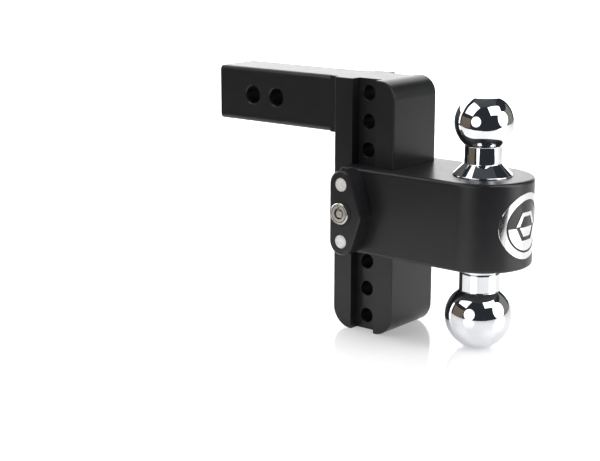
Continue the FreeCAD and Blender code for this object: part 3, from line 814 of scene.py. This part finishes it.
class HITCH_OT_stage(bpy.types.Operator):
    """Lays the white table and sweep, and sets the softboxes, the room and the camera"""

    bl_idname = "hitch.stage"
    bl_label = "Stage"

    def execute(self, context):
        studio = context.scene.hitch_studio
        scene = context.scene
        a, e = studio.azimuth, studio.elevation
        back = Vector((math.sin(a) * math.cos(e), -math.cos(a) * math.cos(e), math.sin(e)))
        looked = Vector(studio.looked_at)
        camera = bpy.data.objects.new("camera", bpy.data.cameras.new("camera"))
        scene.collection.objects.link(camera)
        camera.data.lens = studio.lens
        camera.data.sensor_width = SENSOR_WIDTH
        camera.location = looked + back * studio.distance
        camera.rotation_mode = "QUATERNION"
        camera.rotation_quaternion = back.to_track_quat("Z", "Y")
        scene.camera = camera
        scene.view_settings.view_transform = "Standard"

        floor_z = CAD_BOX[0].z
        ahead = Vector((math.sin(a), -math.cos(a), 0))
        side = Vector((math.cos(a), math.sin(a), 0))
        ball = mount_place("upper_coupler_ball")
        foot = Vector((ball.x, ball.y, floor_z))

        def at(across, forward, height=0.0):
            return foot + side * across + ahead * forward + Vector((0, 0, height))

        table_white = glowing(
            "table_white", WHITE, studio.table_glow, linear(studio.table), TABLE_ROUGHNESS)
        # the table's bowed front edge shows in the balls
        outline = [at(*place) for place in TABLE_OUTLINE]
        sheet_object("table", outline, [tuple(range(len(outline)))], table_white)
        # beyond the table the same white runs on, seen only by the camera
        outer = [foot + (p - at(*FLOOR_MIDDLE)).normalized() * FLOOR_REACH for p in outline]
        count = len(outline)
        quads = [(i, (i + 1) % count, count + (i + 1) % count, count + i) for i in range(count)]
        far_white = glowing("far_white", WHITE, 1.0, BLACK)
        only_for_camera(sheet_object("floor_beyond", outline + outer, quads, far_white))
        # the white sweep behind the hitch, which the chrome and the coat reflect
        wall = [at(x, y) for x, y, tall in SWEEP_UPRIGHTS]
        wall += [at(x, y, tall) for x, y, tall in SWEEP_UPRIGHTS]
        count = len(SWEEP_UPRIGHTS)
        quads = [(i, i + 1, count + i + 1, count + i) for i in range(count - 1)]
        sheet_object("sweep", wall, quads, glowing("sweep_white", WHITE, studio.sweep_glow))
        # the white horizon all round, seen only by the camera
        steps, radius = HORIZON_STEPS, HORIZON_RADIUS
        circle = [2 * math.pi * i / steps for i in range(steps)]
        low = [foot + Vector((math.cos(t) * radius, math.sin(t) * radius, -HORIZON_DROP))
               for t in circle]
        high = [p + Vector((0, 0, HORIZON_HEIGHT)) for p in low]
        quads = [(i, (i + 1) % steps, steps + (i + 1) % steps, steps + i) for i in range(steps)]
        only_for_camera(sheet_object("horizon", low + high, quads, far_white))
        # two dim boards that the chrome shows at its sides
        count = BOARD_PANES + 1
        for name, colour, start, end, away, rise in BOARDS:
            angles = [math.radians(start + (end - start) * i / BOARD_PANES) for i in range(count)]
            feet = [ball + Vector((math.sin(t), -math.cos(t), 0)) * away for t in angles]
            points = [p - Vector((0, 0, BOARD_DROP)) for p in feet]
            points += [p + Vector((0, 0, rise)) for p in feet]
            quads = [(i, i + 1, count + i + 1, count + i) for i in range(BOARD_PANES)]
            dim = glowing(name, linear(colour), 1.0, BLACK)
            only_reflected(sheet_object(name, points, quads, dim))
        ceiling = [at(*place) for place in CEILING_CORNERS]
        grey = glowing("grey_ceiling", linear("#484c4f"), 1.0, BLACK)
        only_reflected(sheet_object("ceiling", ceiling, [(0, 1, 2, 3)], grey))

        for name, strength, towards, away, size, shape, roll in SOFTBOXES:
            softbox(name, ball, towards, away, size, getattr(studio, strength), shape, roll)
        overhead = softbox("overhead", foot, OVERHEAD_DIRECTION, OVERHEAD_DISTANCE, OVERHEAD_SIZE,
                           studio.top_light)
        overhead.visible_glossy = False
        world = bpy.data.worlds.new("dark_room")
        world.use_nodes = True
        world.node_tree.nodes["Background"].inputs["Color"].default_value = linear(studio.room)
        world.node_tree.nodes["Background"].inputs["Strength"].default_value = 1.0
        scene.world = world
        return {"FINISHED"}


class HITCH_PT_panel(bpy.types.Panel):
    """Lists the hitch's sizes, finishes and pieces"""

    bl_idname = "HITCH_PT_panel"
    bl_label = "Trailer hitch"
    bl_space_type = "VIEW_3D"
    bl_region_type = "UI"
    bl_category = "Hitch"

    def draw(self, context):
        scene = context.scene
        for group in (scene.hitch_sizes, scene.hitch_finish, scene.hitch_studio):
            box = self.layout.box()
            for key in group.bl_rna.properties.keys():
                if key not in ("rna_type", "name"):
                    box.prop(group, key)
        for operator in OPERATORS:
            self.layout.operator(operator.bl_idname)


GROUPS = (HitchSizes, HitchFinish, HitchStudio)
OPERATORS = (HITCH_OT_coated, HITCH_OT_balls, HITCH_OT_pins, HITCH_OT_badge, HITCH_OT_lock,
             HITCH_OT_stage)


def register():
    for cls in (*GROUPS, *OPERATORS, HITCH_PT_panel):
        bpy.utils.register_class(cls)
    bpy.types.Scene.hitch_sizes = PointerProperty(type=HitchSizes)
    bpy.types.Scene.hitch_finish = PointerProperty(type=HitchFinish)
    bpy.types.Scene.hitch_studio = PointerProperty(type=HitchStudio)


def unregister():
    del bpy.types.Scene.hitch_studio
    del bpy.types.Scene.hitch_finish
    del bpy.types.Scene.hitch_sizes
    for cls in (HITCH_PT_panel, *reversed(OPERATORS), *reversed(GROUPS)):
        bpy.utils.unregister_class(cls)


def main():
    register()
    for operator in OPERATORS:
        group, name = operator.bl_idname.split(".")
        getattr(getattr(bpy.ops, group), name)()


if __name__ == "__main__":
    main()
